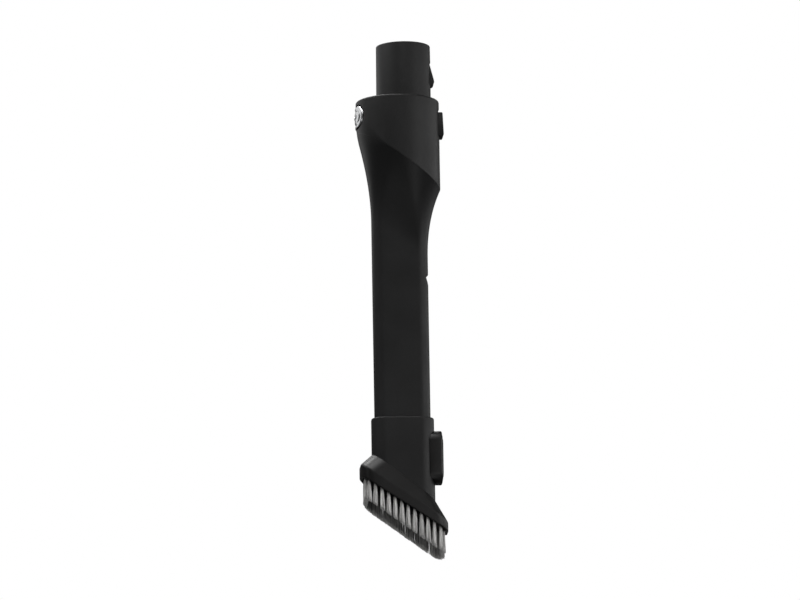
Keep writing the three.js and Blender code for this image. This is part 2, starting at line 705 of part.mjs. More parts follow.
function bristleRing() {
  const root = shifted(CARRIER_BOTTOM, -GAP);
  const outside = prism(BRISTLE_OUTER, BRISTLE_TIPS, root);
  const inside = resized(BRISTLE_OUTER, -BRISTLE_THICKNESS);
  return outside.subtract(prism(inside, shifted(BRISTLE_TIPS, -PAST_SLANT), shifted(root, PAST_SLANT)));
}

function bristleRow(side) {
  const reach = BRISTLE_STRAIGHT - HALF_GAP;
  const ys = [0, side * FAR].sort((a, b) => a - b);
  const low = [TUBE_X - reach, ys[0], FAR_DOWN];
  return bristleRing().intersect(box(low, [TUBE_X + reach, ys[1], SLEEVE_TOP]));
}

function bristleEnd(side) {
  const reach = BRISTLE_STRAIGHT + HALF_GAP;
  const xs = [TUBE_X + side * reach, TUBE_X + side * FAR].sort((a, b) => a - b);
  return bristleRing().intersect(box([xs[0], -FAR, FAR_DOWN], [xs[1], FAR, SLEEVE_TOP]));
}

// Thumb lock: housing, rocking pad with its grip, pin, leaf with the tooth, and coil

function lockHousing() {
  const sleeve = prism(resized(SLEEVE_OUTSIDE, GAP), level(FAR_DOWN), level(0));
  return frontBlock(HOUSING, HOUSING_BACK, HOUSING_FRONT, HOUSING_EDGE)
    .subtract(sleeve)
    .subtract(frontBlock(POCKET, 0, FAR))
    .subtract(lockPin(GAP));
}

function lockPin(grow) {
  const reach = LOCK_PIN_HALF_LENGTH + grow;
  return rod('y', LOCK_PIN_RADIUS + grow, -reach, reach, [LOCK_PIVOT.x, 0, LOCK_PIVOT.z]);
}

function thumbPad() {
  const seat = frontBlock(resizedBlock(INSERT, GAP), INSERT_BACK - GAP, FAR);
  const springSeat = rod('x', LOCK_SPRING_SEAT.radius, 0, LOCK_SPRING_SEAT.top, [0, 0, LOCK_SPRING.z]);
  const boss = box(
    [LOCK_BOSS.back, -PAD.halfWidth, LOCK_PIVOT.z - LOCK_BOSS.halfHeight],
    [PAD_BACK + OVERSHOOT, PAD.halfWidth, LOCK_PIVOT.z + LOCK_BOSS.halfHeight],
  );
  return frontBlock(PAD, PAD_BACK, PAD_FRONT, PAD_EDGE)
    .add(boss)
    .subtract(seat)
    .subtract(springSeat)
    .subtract(lockPin(GAP));
}

function resizedBlock(block, change) {
  return {
    low: block.low - change,
    high: block.high + change,
    halfWidth: block.halfWidth + change,
    radius: block.radius + change,
  };
}

// A spring leaf under the pad's upper half, folded into a tooth that reaches through the sleeve.
function lockLeaf() {
  const { back, front } = LEAF;
  const foot = LOCK_PIVOT.z + LOCK_BOSS.halfHeight + GAP;
  const top = NOTCH_TOP - SLIDE_TRAVEL - LEAF.play;
  const tip = TUBE_FACE - LEAF.bite;
  return sideProfile(polygon([
    [front, foot],
    [front, top + 0.3],
    [back, top + 0.3],
    [tip + 1.4, top],
    [tip, top - 1],
    [tip + 0.1, top - 1.6],
    [TUBE_FACE + 0.5, top - 6],
    [TUBE_FACE + 1.1, top - 6],
    [tip + 0.9, top - 1.4],
    [tip + 1.6, top - 0.7],
    [back, top - 0.3],
    [back, foot],
  ]), LEAF.halfWidth);
}

const nozzle = nozzleBody();
addPart('nozzle_neck', aboveSplit(nozzle), BLACK_BODY);
addPart('crevice_tube', belowSplit(nozzle), BLACK_BODY);
addPart('collar_shell', collarShell(), BLACK_BODY);
addPart('spigot_pipe', spigotPipe(), BLACK_BODY);
addPart('duct_seal', ductSeal(), RUBBER);
addPart('duct_screw_front', ductScrew(-1), STEEL);
addPart('duct_screw_rear', ductScrew(1), STEEL);
addPart('latch_pin', latchPin(0), STEEL);
addPart('latch_lever', latchLever(), BLACK_TRIM);
addPart('button_guide', buttonGuide(), BLACK_TRIM);
addPart('button_spring', coil(BUTTON_SPRING), STEEL);
addPart('button_cap', buttonCap(), SILVER);
addPart('button_slider', buttonSlider(), BLACK_TRIM);
addPart('push_ring', pushRing(), BLACK_TRIM);
addPart('sleeve_shell', sleeveShell(), BLACK_BODY);
addPart('brush_head', brushHead(), BLACK_HEAD);
addPart('bristle_carrier', bristleCarrier(), BLACK_TRIM);
addPart('bristles_front', bristleRow(-1), BRISTLE);
addPart('bristles_rear', bristleRow(1), BRISTLE);
addPart('bristles_heel', bristleEnd(-1), BRISTLE);
addPart('bristles_toe', bristleEnd(1), BRISTLE);
addPart('lock_housing', lockHousing(), BLACK_HEAD);
addPart('lock_pin', lockPin(0), STEEL);
addPart('lock_spring', coil(LOCK_SPRING), STEEL);
addPart('thumb_pad', thumbPad(), BLACK_TRIM);
addPart('grip_insert', frontBlock(INSERT, INSERT_BACK, INSERT_FRONT, INSERT_EDGE), RUBBER);
addPart('lock_leaf', lockLeaf(), STEEL);

export default group;
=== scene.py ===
"""Looks for the two-in-one vacuum accessory: fine shells, silver button, tufts, materials, light and camera.

Metres, +Z up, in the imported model's frame. The origin is on the spigot's axis at the collar's shoulder.
"""

import json
import math
import random

import bmesh
import bpy
from mathutils import Matrix, Vector


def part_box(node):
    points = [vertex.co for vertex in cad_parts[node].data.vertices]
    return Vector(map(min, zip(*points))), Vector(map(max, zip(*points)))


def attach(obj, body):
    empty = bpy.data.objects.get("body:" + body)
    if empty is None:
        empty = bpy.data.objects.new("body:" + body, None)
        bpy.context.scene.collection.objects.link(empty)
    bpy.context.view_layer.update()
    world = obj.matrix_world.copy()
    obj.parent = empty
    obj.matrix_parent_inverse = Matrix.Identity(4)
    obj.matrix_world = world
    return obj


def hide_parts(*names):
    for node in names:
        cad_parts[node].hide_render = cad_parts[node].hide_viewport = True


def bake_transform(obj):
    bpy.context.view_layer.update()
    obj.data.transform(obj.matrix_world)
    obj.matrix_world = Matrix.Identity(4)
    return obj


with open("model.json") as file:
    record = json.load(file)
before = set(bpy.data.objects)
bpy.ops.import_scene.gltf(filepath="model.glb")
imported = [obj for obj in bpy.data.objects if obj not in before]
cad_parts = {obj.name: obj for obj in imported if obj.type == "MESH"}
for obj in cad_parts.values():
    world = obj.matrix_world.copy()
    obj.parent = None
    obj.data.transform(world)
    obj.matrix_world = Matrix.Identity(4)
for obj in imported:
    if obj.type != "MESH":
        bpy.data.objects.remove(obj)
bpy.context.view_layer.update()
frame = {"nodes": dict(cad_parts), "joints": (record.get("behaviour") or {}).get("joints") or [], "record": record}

MM = 0.001
TINY = 1e-9
SEAM = 0.03 * MM
LEAST_STRAIGHT = 0.01 * MM

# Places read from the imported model
COLLAR_LOW, COLLAR_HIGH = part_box("collar_shell")
TUBE_X = (COLLAR_LOW.x + COLLAR_HIGH.x) / 2
COLLAR_RADIUS = (COLLAR_HIGH.y - COLLAR_LOW.y) / 2
SPIGOT_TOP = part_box("spigot_pipe")[1].z
SLEEVE_LOW, SLEEVE_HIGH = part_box("sleeve_shell")
HEAD_LOW, HEAD_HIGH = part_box("brush_head")
BUTTON_LOW, BUTTON_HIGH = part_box("button_cap")
LATCH_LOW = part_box("latch_lever")[0]
SLIDE_TRAVEL = next(joint for joint in frame["joints"] if joint["name"] == "brush_slide")["range_m"][1]

# Below, a slanted plane is (height at X = 0, drop for each unit of X), and a rounded rectangle is
# (half width, half depth, corner radius)

# Spigot pipe
SPIGOT_TIP_RADIUS = 16.3 * MM
SPIGOT_BASE_RADIUS = 16.6 * MM
SPIGOT_WALL = 1.8 * MM
SPIGOT_OUTER_ROUND = 0.45 * MM
SPIGOT_INNER_ROUND = 0.5 * MM
PIPE_RADIUS = 15.2 * MM
PIPE_BOTTOM = -20 * MM
PIPE_TAPER_LOW = -2.6 * MM
PIPE_TAPER_HIGH = -1.2 * MM
DUCT_RADIUS = PIPE_RADIUS - SPIGOT_WALL
LATCH_SLOT_LOW = -8.3 * MM
LATCH_SLOT_HIGH = 24.4 * MM
LATCH_SLOT_HALF_WIDTH = 5.3 * MM
LATCH_SLOT_REACH = (11 * MM, 20 * MM)
WINDOW_CORNER = 1 * MM
WINDOW_STEPS = 5

# Collar and neck
COLLAR_WALL = 2 * MM
COLLAR_FILLET = 1.2 * MM
COLLAR_HOLE_GAP = 0.12 * MM
COLLAR_HOLE_ROUND = 0.25 * MM
SHOULDER_THICKNESS = 2.2 * MM
TAIL_WINDOW_TOP = -4.6 * MM
TAIL_WINDOW_HALF_WIDTH = 6.5 * MM
TAIL_WINDOW_REACH = (14.8 * MM, 30 * MM)
TAIL_GAP = 1 * MM
CREASE = (-36.8 * MM, 0.69)
CREASE_SOFT = 8 * MM
CREASE_CRISP = 0.25 * MM
CREASE_FADE_START = -0.25
CREASE_FADE_LENGTH = 0.6
CREASE_SPLIT = 0.5
NECK_END = (-84.7 * MM, 0.66)
NECK_RIM = 2.5 * MM
NECK_STEPS = 200
NECK_ROWS = 40

# Flat tube, its duct and its notches
TUBE_WALL = 1.8 * MM
TUBE_ROWS = 24
MOUTH = (-226.5 * MM, 0.7)
MOUTH_LIP = 3 * MM
MOUTH_ROUND = 0.5 * MM
DUCT_TOP = -22 * MM
DUCT_END = -90 * MM
DUCT_LEVEL_FROM = 20 * MM
DUCT_ROWS = 12
DUCT_TURN_ROWS = 24
NOTCH_TOP = -106.2 * MM
NOTCH_DEPTH = 1.4 * MM
NOTCH_HALF_WIDTH = 5.2 * MM
NOTCH_UNDERCUT = 1 * MM
NOTCH_LIP = 0.5 * MM
NOTCH_OVERSHOOT = 1 * MM
UPPER_NOTCH = (2.6 * MM, 4.4 * MM)
LOWER_NOTCH = (6.4 * MM, 0)

# Sleeve
SLEEVE = ((SLEEVE_HIGH.x - SLEEVE_LOW.x) / 2, (SLEEVE_HIGH.y - SLEEVE_LOW.y) / 2, 8.6 * MM)
SLEEVE_WALL = 1.6 * MM
SLEEVE_OUTER_ROUND = 0.9 * MM
SLEEVE_INNER_ROUND = 0.35 * MM
SLEEVE_JOIN = (-230.8 * MM, 0.756)
SLIDE_GAP = 0.4 * MM

# Brush head
HEAD = ((HEAD_HIGH.x - HEAD_LOW.x) / 2, (HEAD_HIGH.y - HEAD_LOW.y) / 2, 8 * MM)
RIM_TOP = (-240.9 * MM, 0.68)
RIM_BOTTOM = (-247.4 * MM, 0.655)
RIM_WALL = 1.5 * MM
RIM_THINNING = 0.1 * MM
RIM_TOP_ROUND = 1.0 * MM
RIM_OUTER_ROUND = 0.8 * MM
RIM_INNER_ROUND = 0.3 * MM
CEILING_DROP = 0.2 * MM

# Silver button: (distance in from the outline, height over the rim) and (radius, height), in millimetres
BUTTON_Z = (BUTTON_LOW.z + BUTTON_HIGH.z) / 2
BUTTON_HALF_WIDTH = (BUTTON_HIGH.y - BUTTON_LOW.y) / 2
BUTTON_HALF_HEIGHT = (BUTTON_HIGH.z - BUTTON_LOW.z) / 2
BUTTON_GAP = 1.0 * MM
BUTTON_HOLE_REACH = (-40 * MM, TUBE_X - 10 * MM)
BUTTON_RISE = 0.35 * MM
BUTTON_PROFILE = [
    (0.35, -0.8), (0.06, -0.78), (0.0, -0.55), (0.04, -0.34), (0.16, -0.14), (0.38, -0.02),
    (0.7, 0.03), (1.05, 0.0), (1.35, -0.1), (1.65, -0.26), (1.95, -0.34), (2.3, -0.34), (2.65, -0.26),
    (2.95, -0.1), (3.2, 0.06), (3.5, 0.16), (4.0, 0.21), (4.8, 0.24), (5.8, 0.25),
]
PIP_PROFILE = [(0, -0.8), (1.15, -0.8), (1.12, 0.1), (0.95, 0.3), (0.6, 0.4), (0, 0.43)]
PIP_LIFT = 0.2 * MM

# Tufts
BRISTLE_ROOT = (RIM_BOTTOM[0] + 0.75 * MM, RIM_BOTTOM[1])
BRISTLE_TIPS = (-262.4 * MM, 0.725)
TIPS_TILT = 0.085
TOE_TRIM = 0.4
TOE_TRIM_START = 19 * MM
TUFT_PATH = (23.0 * MM, 10.1 * MM, 4.9 * MM)
TUFT_COUNT = 32
STRAIGHT_HALF = 17.6 * MM
ROW_FACING = 0.2
SEED = 7
TONE_AND_LIGHT_LAYER = "strand_tone_and_painted_light"

# Strands; the scatter of leans, tips, bows and trims is in millimetres
STRANDS = 60
REAR_STRANDS = 84
STRAND_RADIUS = 0.15 * MM
STRAND_TAPER = 0.25
STRAND_ROWS = 6
STRAND_SIDES = 4
ROOT_SPREAD = 0.8 * MM
ROW_FLARE = 1.2 * MM
FLARE_POWER = 1.2
FRONT_SPLAY = 1.85
REAR_SPLAY = 0.97
OUTWARD_SPLAY = 1.3
SPLAY_SCATTER = 0.12
REAR_FULLNESS = 2.9
FRONT_LEAN = 0.22
REAR_LEAN = 0.08
OUTWARD_LEAN = 0.2
GOLDEN_ANGLE = 2.39996
TURN_SCATTER = 0.25
TIP_SCATTER = 0.14
BOW_SCATTER = 0.12
TRIM_SCATTER = (-0.1, 0.35)
PARTING = 13.9 * MM
PARTING_REACH = 3 * MM
PARTING_LEAN = 0.8 * MM
# The front row's strand tone, and a darker tone that paints shade on the rear row short of its toe end, as if in
# the shadow of the front row and the head
FRONT_TONE = 0.85
REAR_SHADED_TONE = 0.2
REAR_SHADE_END = 17 * MM
TONE_WAVE = 0.45
TONE_WAVES = 5.2
TONE_SCATTER = 0.2
# Painted shade: each strand darkens towards its root, under the head
ROOT_SHADE_FADE = 3.2
# Painted highlight: each strand pales towards its cut tip
TIP_HIGHLIGHT_FADE = 6

# CAD nodes redrawn with rounded edges: (node, piece, edge radius in millimetres)
REFINED = (
    ("latch_lever", "latch_hook", 0.25),
    ("lock_housing", "lock_surround", 0.15),
    ("thumb_pad", "thumb_rocker", 0.2),
    ("grip_insert", "thumb_grip", 0.12),
    ("bristle_carrier", "tuft_plate", 0.2),
    ("button_slider", "button_backing", 0.15),
    ("button_guide", "button_sleeve", 0.15),
    ("push_ring", "push_yoke", 0.2),
)
FINE_NODES = ("latch_pin", "lock_pin", "duct_screw_front", "duct_screw_rear", "duct_seal", "lock_leaf")
FINE_EDGE = 0.08 * MM
NODE_WELD = 0.002 * MM
FLAT_ANGLE = math.radians(0.6)
EDGE_ANGLE = math.radians(30)

# Surface detail; a scale is a noise's, per metre
EDGE_SAMPLES = 6
EDGE_COSINES = (0.75, 0.99)
GLOSS_SWING = 0.05
PLASTIC_SPECULAR = 0.38
PLASTIC_SLOW_SCALE = 45
PLASTIC_SPECK_SCALE = 900
PLASTIC_EDGE = 0.5 * MM
PLASTIC_EDGE_TONE = 0.6
PLASTIC_EDGE_POLISH = 0.12
PLASTIC_TONE_GAIN = 1.6
PLASTIC_TONE_RANGE = (0.15, 0.9)
FINE_GRAIN_SCALE = 2600
FINE_GRAIN_HEIGHT = 0.03 * MM
COARSE_GRAIN_SCALE = 700
COARSE_GRAIN_HEIGHT = 0.04 * MM
COARSE_GRAIN_SHARE = 0.6
HAZE_SCALE = 160
HAZE_DIMMING = 0.86
HAZE_ROUGHENING = 0.06
PLATED_EDGE = 0.3 * MM
PLATED_EDGE_POLISH = 0.08
PIT_SCALE = 3200
PIT_STRENGTH = 0.12
PIT_HEIGHT = 0.02 * MM
RUBBER_SHEEN = 0.08
RUBBER_SPECULAR = 0.35
RUBBER_ROUGHNESS = (0.7, 0.88)
RUBBER_GRAIN_SCALE = 1500
RUBBER_GRAIN = 0.35
RUBBER_GRAIN_HEIGHT = 0.05 * MM
DUST_SCALE = 120
FIBRE_SPECULAR = 1.0
FIBRE_ROUGHNESS = (0.3, 0.45)
FIBRE_GLOSS_SCALE = 1800
FIBRE_GRAIN_SCALE = 6000
FIBRE_GRAIN = 0.1
FIBRE_GRAIN_HEIGHT = 0.01 * MM
# Painted shade on the filaments: their colour goes towards near-black where ambient occlusion finds other strands,
# the other row or the head within reach
PAINTED_SHADE_SAMPLES = 8
PAINTED_SHADE_REACH = 30 * MM
PAINTED_SHADE_RANGE = (0.22, 0.55)

# Camera and studio
FRAME_WIDTH = 0.48
SENSOR_WIDTH = 36
VIEW_DEPTH = 200
CAMERA_DISTANCE = 6.0
CAMERA_AZIMUTH = -4.0
CAMERA_ELEVATION = -12.0
CAMERA_ROLL = 0.97
AIM = Vector((-4.27 * MM, 0, -121.5 * MM))
FLOOR_DROP = 6.3
FLOOR_HALF = 60
FLOOR_SCALE = 3
FLOOR_ROUGHNESS = 0.9
FLOOR_COLOURS = ((0.84, 0.84, 0.84), (0.88, 0.88, 0.88))
WORLD_LIGHT = 0.08


# Materials


def links(material):
    return material.node_tree.nodes, material.node_tree.links


def noise(material, scale, detail=2.0, roughness=0.5):
    nodes, wires = links(material)
    node = nodes.new("ShaderNodeTexNoise")
    node.inputs["Scale"].default_value = scale
    node.inputs["Detail"].default_value = detail
    node.inputs["Roughness"].default_value = roughness
    wires.new(nodes.new("ShaderNodeTexCoord").outputs["Object"], node.inputs["Vector"])
    return node.outputs["Fac"]


def spread(material, value, low, high, start=0.3, stop=0.7):
    """A value's start-to-stop range mapped to low-to-high, held at both ends."""
    nodes, wires = links(material)
    node = nodes.new("ShaderNodeMapRange")
    node.inputs["From Min"].default_value = start
    node.inputs["From Max"].default_value = stop
    node.inputs["To Min"].default_value = low
    node.inputs["To Max"].default_value = high
    wires.new(value, node.inputs["Value"])
    return node.outputs["Result"]


def blended(material, factor, first, second):
    """A mix of two colours, where each is a plain colour or another node's output."""
    nodes, wires = links(material)
    node = nodes.new("ShaderNodeMix")
    node.data_type = "RGBA"
    for socket, colour in ((node.inputs["A"], first), (node.inputs["B"], second)):
        if isinstance(colour, tuple):
            socket.default_value = (*colour, 1)
        else:
            wires.new(colour, socket)
    wires.new(factor, node.inputs["Factor"])
    return node.outputs["Result"]


def added(material, first, second, operation="ADD"):
    nodes, wires = links(material)
    node = nodes.new("ShaderNodeMath")
    node.operation = operation
    for socket, value in zip(node.inputs, (first, second)):
        if isinstance(value, float):
            socket.default_value = value
        else:
            wires.new(value, socket)
    return node.outputs["Value"]


def edge_mask(material, radius):
    """Near 1 on sharp edges and 0 on open faces."""
    nodes, wires = links(material)
    bevel = nodes.new("ShaderNodeBevel")
    bevel.samples = EDGE_SAMPLES
    bevel.inputs["Radius"].default_value = radius
    geometry = nodes.new("ShaderNodeNewGeometry")
    dot = nodes.new("ShaderNodeVectorMath")
    dot.operation = "DOT_PRODUCT"
    wires.new(bevel.outputs["Normal"], dot.inputs[0])
    wires.new(geometry.outputs["Normal"], dot.inputs[1])
    return spread(material, dot.outputs["Value"], 1.0, 0.0, *EDGE_COSINES)


def bump(material, height, strength, distance, normal=None):
    nodes, wires = links(material)
    node = nodes.new("ShaderNodeBump")
    node.inputs["Strength"].default_value = strength
    node.inputs["Distance"].default_value = distance
    wires.new(height, node.inputs["Height"])
    if normal is not None:
        wires.new(normal, node.inputs["Normal"])
    return node.outputs["Normal"]


def surface(name, metallic=0.0, sheen=0.0, specular=0.5):
    material = bpy.data.materials.new(name)
    material.use_nodes = True
    shader = material.node_tree.nodes["Principled BSDF"]
    shader.inputs["Metallic"].default_value = metallic
    shader.inputs["Sheen Weight"].default_value = sheen
    shader.inputs["Specular IOR Level"].default_value = specular
    return material, shader


def plastic(name, dark, light, rough, grain):
    """Moulded plastic: spark-eroded grain, slow gloss variation, and edges rubbed a little smoother."""
    material, shader = surface(name, specular=PLASTIC_SPECULAR)
    wires = material.node_tree.links
    slow = noise(material, PLASTIC_SLOW_SCALE, 3)
    speck = noise(material, PLASTIC_SPECK_SCALE, 3, 0.6)
    edges = edge_mask(material, PLASTIC_EDGE)
    tone = added(material, added(material, slow, speck, "MULTIPLY"), PLASTIC_TONE_GAIN, "MULTIPLY")
    tone = added(material, tone, added(material, edges, PLASTIC_EDGE_TONE, "MULTIPLY"))
    shade = spread(material, tone, 0, 1, *PLASTIC_TONE_RANGE)
    wires.new(blended(material, shade, dark, light), shader.inputs["Base Color"])
    gloss = spread(material, slow, rough - GLOSS_SWING, rough + GLOSS_SWING)
    gloss = added(material, gloss, added(material, edges, -PLASTIC_EDGE_POLISH, "MULTIPLY"))
    wires.new(gloss, shader.inputs["Roughness"])
    fine = bump(material, noise(material, FINE_GRAIN_SCALE, 2, 0.6), grain, FINE_GRAIN_HEIGHT)
    coarse_grain = grain * COARSE_GRAIN_SHARE
    normal = bump(material, noise(material, COARSE_GRAIN_SCALE, 2), coarse_grain, COARSE_GRAIN_HEIGHT, fine)
    wires.new(normal, shader.inputs["Normal"])
    return material


def plated(name, colour, rough):
    """Satin plating: fine brushed pits, faint haze and cleaner edges."""
    material, shader = surface(name, metallic=1.0)
    wires = material.node_tree.links
    haze = noise(material, HAZE_SCALE, 3)
    dim = tuple(HAZE_DIMMING * channel for channel in colour)
    wires.new(blended(material, spread(material, haze, 0, 1), dim, colour), shader.inputs["Base Color"])
    gloss = spread(material, haze, rough - GLOSS_SWING, rough + HAZE_ROUGHENING)
    edges = edge_mask(material, PLATED_EDGE)
    gloss = added(material, gloss, added(material, edges, -PLATED_EDGE_POLISH, "MULTIPLY"))
    wires.new(gloss, shader.inputs["Roughness"])
    pits = bump(material, noise(material, PIT_SCALE, 2), PIT_STRENGTH, PIT_HEIGHT)
    wires.new(pits, shader.inputs["Normal"])
    return material


def rubbery(name, dark, light):
    """Soft matt rubber with dust in its fine grain."""
    material, shader = surface(name, sheen=RUBBER_SHEEN, specular=RUBBER_SPECULAR)
    wires = material.node_tree.links
    dust = noise(material, DUST_SCALE, 4)
    wires.new(blended(material, spread(material, dust, 0, 1), dark, light), shader.inputs["Base Color"])
    wires.new(spread(material, dust, *RUBBER_ROUGHNESS), shader.inputs["Roughness"])
    grain = bump(material, noise(material, RUBBER_GRAIN_SCALE, 3), RUBBER_GRAIN, RUBBER_GRAIN_HEIGHT)
    wires.new(grain, shader.inputs["Normal"])
    return material


def fibre(name, dark, light, root, tip, crevice_shade):
    """Nylon filament: each strand has its own tone, painted shade darkens its root, a painted highlight pales its
    cut tip, and painted shade darkens the gaps between strands and rows.
    """
    material, shader = surface(name, specular=FIBRE_SPECULAR)
    nodes, wires = links(material)
    strand = nodes.new("ShaderNodeAttribute")
    strand.attribute_name = TONE_AND_LIGHT_LAYER
    split = nodes.new("ShaderNodeSeparateColor")
    wires.new(strand.outputs["Color"], split.inputs["Color"])
    colour = blended(material, split.outputs["Red"], dark, light)
    colour = blended(material, split.outputs["Green"], colour, root)
    colour = blended(material, split.outputs["Blue"], colour, tip)
    # Painted shade: the base colour darkens where the strand is occluded by its neighbours, the other row and the
    # head
    occlusion = nodes.new("ShaderNodeAmbientOcclusion")
    occlusion.samples = PAINTED_SHADE_SAMPLES
    occlusion.inputs["Distance"].default_value = PAINTED_SHADE_REACH
    unshaded_share = spread(material, occlusion.outputs["AO"], 0, 1, *PAINTED_SHADE_RANGE)
    wires.new(blended(material, unshaded_share, crevice_shade, colour), shader.inputs["Base Color"])
    gloss = spread(material, noise(material, FIBRE_GLOSS_SCALE, 2), *FIBRE_ROUGHNESS)
    wires.new(gloss, shader.inputs["Roughness"])
    grain = bump(material, noise(material, FIBRE_GRAIN_SCALE, 1), FIBRE_GRAIN, FIBRE_GRAIN_HEIGHT)
    wires.new(grain, shader.inputs["Normal"])
    return material


BODY_PLASTIC = plastic("body_plastic", (0.006, 0.006, 0.0062), (0.0105, 0.0105, 0.0108), 0.5, 0.16)
HEAD_PLASTIC = plastic("head_plastic", (0.0072, 0.0068, 0.0068), (0.012, 0.0115, 0.0115), 0.38, 0.08)
TRIM_PLASTIC = plastic("trim_plastic", (0.0046, 0.0046, 0.0048), (0.0088, 0.0088, 0.009), 0.52, 0.12)
SILVER = plated("silver_plate", (0.80, 0.81, 0.82), 0.24)
STEEL = plated("steel", (0.60, 0.61, 0.62), 0.3)
RUBBER = rubbery("rubber", (0.010, 0.010, 0.010), (0.018, 0.018, 0.018))
# Strand colours: dark tone, light tone, painted root shade, painted tip highlight, painted shade in the gaps
BRISTLE = fibre(
    "bristle_fibre", (0.33, 0.32, 0.315), (0.99, 0.98, 0.96), (0.5, 0.49, 0.48),
    (0.99, 0.98, 0.96), (0.05, 0.05, 0.05),
)

SLOT_MATERIALS = {
    "body_plastic": BODY_PLASTIC,
    "head_plastic": HEAD_PLASTIC,
    "trim_plastic": TRIM_PLASTIC,
    "silver_plate": SILVER,
    "steel": STEEL,
    "rubber": RUBBER,
    "bristle_fibre": BRISTLE,
}
NODE_SLOTS = {row["node"]: row["material_slot"] for row in frame["record"]["subparts"]}
NODE_BODIES = {
    node: body for body, nodes in frame["record"]["behaviour"]["bodies"].items() for node in nodes
}


# Mesh helpers


def outline(size, corner_steps=14, side_steps=6):
    """A rounded rectangle about the origin, counter-clockwise seen from above."""
    half_width, half_depth, radius = size
    radius = min(radius, half_width - LEAST_STRAIGHT, half_depth - LEAST_STRAIGHT)
    centres = [(1, 1), (-1, 1), (-1, -1), (1, -1)]
    points = []
    for quarter, (side, face) in enumerate(centres):
        centre = Vector((side * (half_width - radius), face * (half_depth - radius)))
        for step in range(corner_steps + 1):
            angle = (quarter + step / corner_steps) * math.pi / 2
            points.append(centre + radius * Vector((math.cos(angle), math.sin(angle))))
        after = centres[(quarter + 1) % 4]
        target = Vector((after[0] * (half_width - radius), after[1] * (half_depth - radius)))
        angle = (quarter + 1) * math.pi / 2
        target += radius * Vector((math.cos(angle), math.sin(angle)))
        last = points[-1].copy()
        for step in range(1, side_steps):
            points.append(last.lerp(target, step / side_steps))
    return points


def ring(size, plane, x=None, **steps):
    """A rounded-rectangle section in a plane that drops towards +X."""
    height, slope = plane
    centre = TUBE_X if x is None else x
    return [Vector((centre + p.x, p.y, height - slope * p.x)) for p in outline(size, **steps)]


def circle(radius, height, x=0.0, slope=0.0):
    """A round section with the same count of points as the other rings."""
    return ring((radius, radius, radius), (height, slope), x)


def level(height):
    return (height, 0.0)


def lifted(plane, rise):
    return (plane[0] + rise, plane[1])


def grown(size, change):
    return tuple(value + change for value in size)


def softened(rings, index, radius, steps):
    """The rings, with the edge at one of them rounded into several."""
    before = rings[index - 1]
    corner = rings[index]
    after = rings[(index + 1) % len(rings)]
    rounded = []
    for step in range(steps + 1):
        t = step / steps
        row = []
        for a, k, b in zip(before, corner, after):
            near = k + (a - k) * min(0.5, radius / max((a - k).length, TINY))
            far = k + (b - k) * min(0.5, radius / max((b - k).length, TINY))
            row.append(near * (1 - t) ** 2 + k * 2 * t * (1 - t) + far * t * t)
        rounded.append(row)
    return rings[:index] + rounded + rings[index + 1:]


def softened_at(rings, radii, steps=4):
    """Several edges rounded, given as {ring index: radius}."""
    for index in sorted(radii, reverse=True):
        rings = softened(rings, index, radii[index], steps)
    return rings


def object_from(bm, name):
    mesh = bpy.data.meshes.new(name)
    bm.to_mesh(mesh)
    bm.free()
    piece = bpy.data.objects.new(name, mesh)
    bpy.context.scene.collection.objects.link(piece)
    return piece


def skin(bm, rows):
    """Faces between each ring of vertices and the next."""
    for row, above in zip(rows, rows[1:]):
        for i in range(len(row)):
            j = (i + 1) % len(row)
            bm.faces.new((row[i], row[j], above[j], above[i]))


def closed(bm, name, weld=0.0005 * MM):
    """The mesh with its coinciding points joined and its faces turned outwards, as an object."""
    bmesh.ops.remove_doubles(bm, verts=bm.verts, dist=weld)
    bmesh.ops.recalc_face_normals(bm, faces=bm.faces)
    return object_from(bm, name)


def shell(rings, name):
    """A closed wall whose rings run round it and back to the first one."""
    bm = bmesh.new()
    rows = [[bm.verts.new(point) for point in row] for row in rings]
    skin(bm, rows + rows[:1])
    return closed(bm, name)


def block(rings, name):
    """A closed solid with a flat cap at each end."""
    bm = bmesh.new()
    rows = [[bm.verts.new(point) for point in row] for row in rings]
    skin(bm, rows)
    bm.faces.new(rows[0])
    bm.faces.new(rows[-1])
    return closed(bm, name)


def pill(half_width, half_height, back, front, z, radius=None, steps=12):
    """A cutter with round corners in Y and Z, extruded along X from back to front."""
    corner = half_height if radius is None else radius
    points = outline((half_width, half_height, corner), steps, 2)
    return block([[Vector((x, p.x, z + p.y)) for p in points] for x in (back, front)], "cutter")


def window_cutter(half_width, low, high, reach):
    """A pill cutter between two heights, with the small corners of a moulded window."""
    return pill(half_width, (high - low) / 2, *reach, (low + high) / 2, WINDOW_CORNER, WINDOW_STEPS)


def applied(piece):
    """The piece with its modifiers made final."""
    depsgraph = bpy.context.evaluated_depsgraph_get()
    final = bpy.data.meshes.new_from_object(piece.evaluated_get(depsgraph), depsgraph=depsgraph)
    piece.modifiers.clear()
    old = piece.data
    piece.data = final
    bpy.data.meshes.remove(old)
    return piece


def combined(piece, other, operation):
    modifier = piece.modifiers.new("cut", "BOOLEAN")
    modifier.operation = operation
    modifier.solver = "EXACT"
    modifier.object = other
    applied(piece)
    bpy.data.objects.remove(other)
    return piece


def cut(piece, *cutters):
    for cutter in cutters:
        combined(piece, cutter, "DIFFERENCE")
    return piece


def smooth(piece, angle=32):
    mesh = piece.data
    mesh.shade_smooth()
    mesh.set_sharp_from_angle(angle=math.radians(angle))
    return piece


def dressed(piece, *nodes):
    """Gives a new piece its material, its body and the CAD nodes that it stands for."""
    slot = NODE_SLOTS[nodes[0]]
    piece.data.materials.clear()
    piece.data.materials.append(SLOT_MATERIALS[slot])
    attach(piece, NODE_BODIES[nodes[0]])
    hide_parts(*nodes)
    return piece


# Shells


def tube_size():
    return grown(SLEEVE, -SLEEVE_WALL - SLIDE_GAP)


